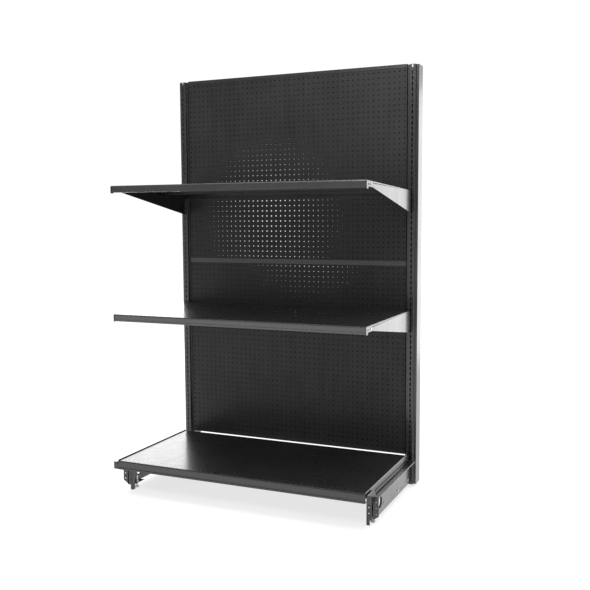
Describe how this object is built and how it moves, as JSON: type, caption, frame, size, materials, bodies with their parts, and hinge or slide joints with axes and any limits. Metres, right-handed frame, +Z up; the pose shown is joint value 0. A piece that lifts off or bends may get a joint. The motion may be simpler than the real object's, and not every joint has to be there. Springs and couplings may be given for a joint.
{
  "type": "gondola shelving unit",
  "caption": "Single-sided gondola shelving bay with slotted uprights, perforated back panels, hook-in shelves and a base deck.",
  "frame": {"origin": "on the floor, in the middle of the bounding box's footprint", "axes": "+Z up, +Y towards the back of the unit, +X to the right as seen by a shopper in front of it"},
  "size_m": [1.2732, 0.7372, 1.985],
  "materials": {
    "black_powder_coat": "semi-gloss powder coat",
    "zinc_plated_steel": "bright zinc plate"
  },
  "bodies": {
    "frame": {"upright_left": "black_powder_coat", "upright_right": "black_powder_coat", "foot_plate_left": "black_powder_coat", "foot_plate_right": "black_powder_coat", "top_rail": "black_powder_coat", "centre_rail": "black_powder_coat", "bottom_rail": "black_powder_coat", "rail_screws": "zinc_plated_steel", "front_panel_upper": "black_powder_coat", "front_panel_lower": "black_powder_coat", "rear_panel_upper": "black_powder_coat", "rear_panel_lower": "black_powder_coat", "rear_panel_screws": "zinc_plated_steel", "base_channel_left_outer": "black_powder_coat", "base_channel_left_inner": "black_powder_coat", "base_channel_right_outer": "black_powder_coat", "base_channel_right_inner": "black_powder_coat", "base_hook_plate_left": "black_powder_coat", "base_hook_plate_right": "black_powder_coat", "base_bolts": "zinc_plated_steel", "base_nuts": "zinc_plated_steel", "leveller_nuts": "zinc_plated_steel"},
    "lower_shelf": {"lower_shelf_pan": "black_powder_coat", "lower_shelf_price_channel": "black_powder_coat", "lower_shelf_rib_front": "black_powder_coat", "lower_shelf_rib_rear": "black_powder_coat", "lower_shelf_bracket_left": "black_powder_coat", "lower_shelf_bracket_right": "black_powder_coat", "lower_shelf_screws": "zinc_plated_steel"},
    "upper_shelf": {"upper_shelf_pan": "black_powder_coat", "upper_shelf_price_channel": "black_powder_coat", "upper_shelf_rib_front": "black_powder_coat", "upper_shelf_rib_rear": "black_powder_coat", "upper_shelf_bracket_left": "black_powder_coat", "upper_shelf_bracket_right": "black_powder_coat", "upper_shelf_screws": "zinc_plated_steel"},
    "deck": {"base_deck": "black_powder_coat", "deck_front_channel": "black_powder_coat", "deck_rib_front": "black_powder_coat", "deck_rib_rear": "black_powder_coat", "deck_bearer_left": "black_powder_coat", "deck_bearer_right": "black_powder_coat"},
    "leveller_front_left": {"leveller_front_left": "zinc_plated_steel"},
    "leveller_front_right": {"leveller_front_right": "zinc_plated_steel"},
    "leveller_rear_left": {"leveller_rear_left": "zinc_plated_steel"},
    "leveller_rear_right": {"leveller_rear_right": "zinc_plated_steel"}
  },
  "joints": [
    {"name": "lower_shelf_tilt", "type": "hinge", "parent": "frame", "child": "lower_shelf", "pos_m": [0, 0.27455, 0.81793], "axis": [-1, 0, 0], "range_deg": [0, 14]},
    {"name": "upper_shelf_tilt", "type": "hinge", "parent": "frame", "child": "upper_shelf", "pos_m": [0, 0.27455, 1.37673], "axis": [-1, 0, 0], "range_deg": [0, 11.5]},
    {"name": "deck_lift", "type": "slide", "parent": "frame", "child": "deck", "axis": [0, 0, 1], "range_m": [0, 0.12]},
    {"name": "leveller_front_left_turn", "type": "hinge", "parent": "frame", "child": "leveller_front_left", "pos_m": [-0.5951, -0.2352, 0], "axis": [0, 0, 1], "continuous": true},
    {"name": "leveller_front_right_turn", "type": "hinge", "parent": "frame", "child": "leveller_front_right", "pos_m": [0.5951, -0.2352, 0], "axis": [0, 0, 1], "continuous": true},
    {"name": "leveller_rear_left_turn", "type": "hinge", "parent": "frame", "child": "leveller_rear_left", "pos_m": [-0.6096, 0.32055, 0], "axis": [0, 0, 1], "continuous": true},
    {"name": "leveller_rear_right_turn", "type": "hinge", "parent": "frame", "child": "leveller_rear_right", "pos_m": [0.6096, 0.32055, 0], "axis": [0, 0, 1], "continuous": true}
  ]
}
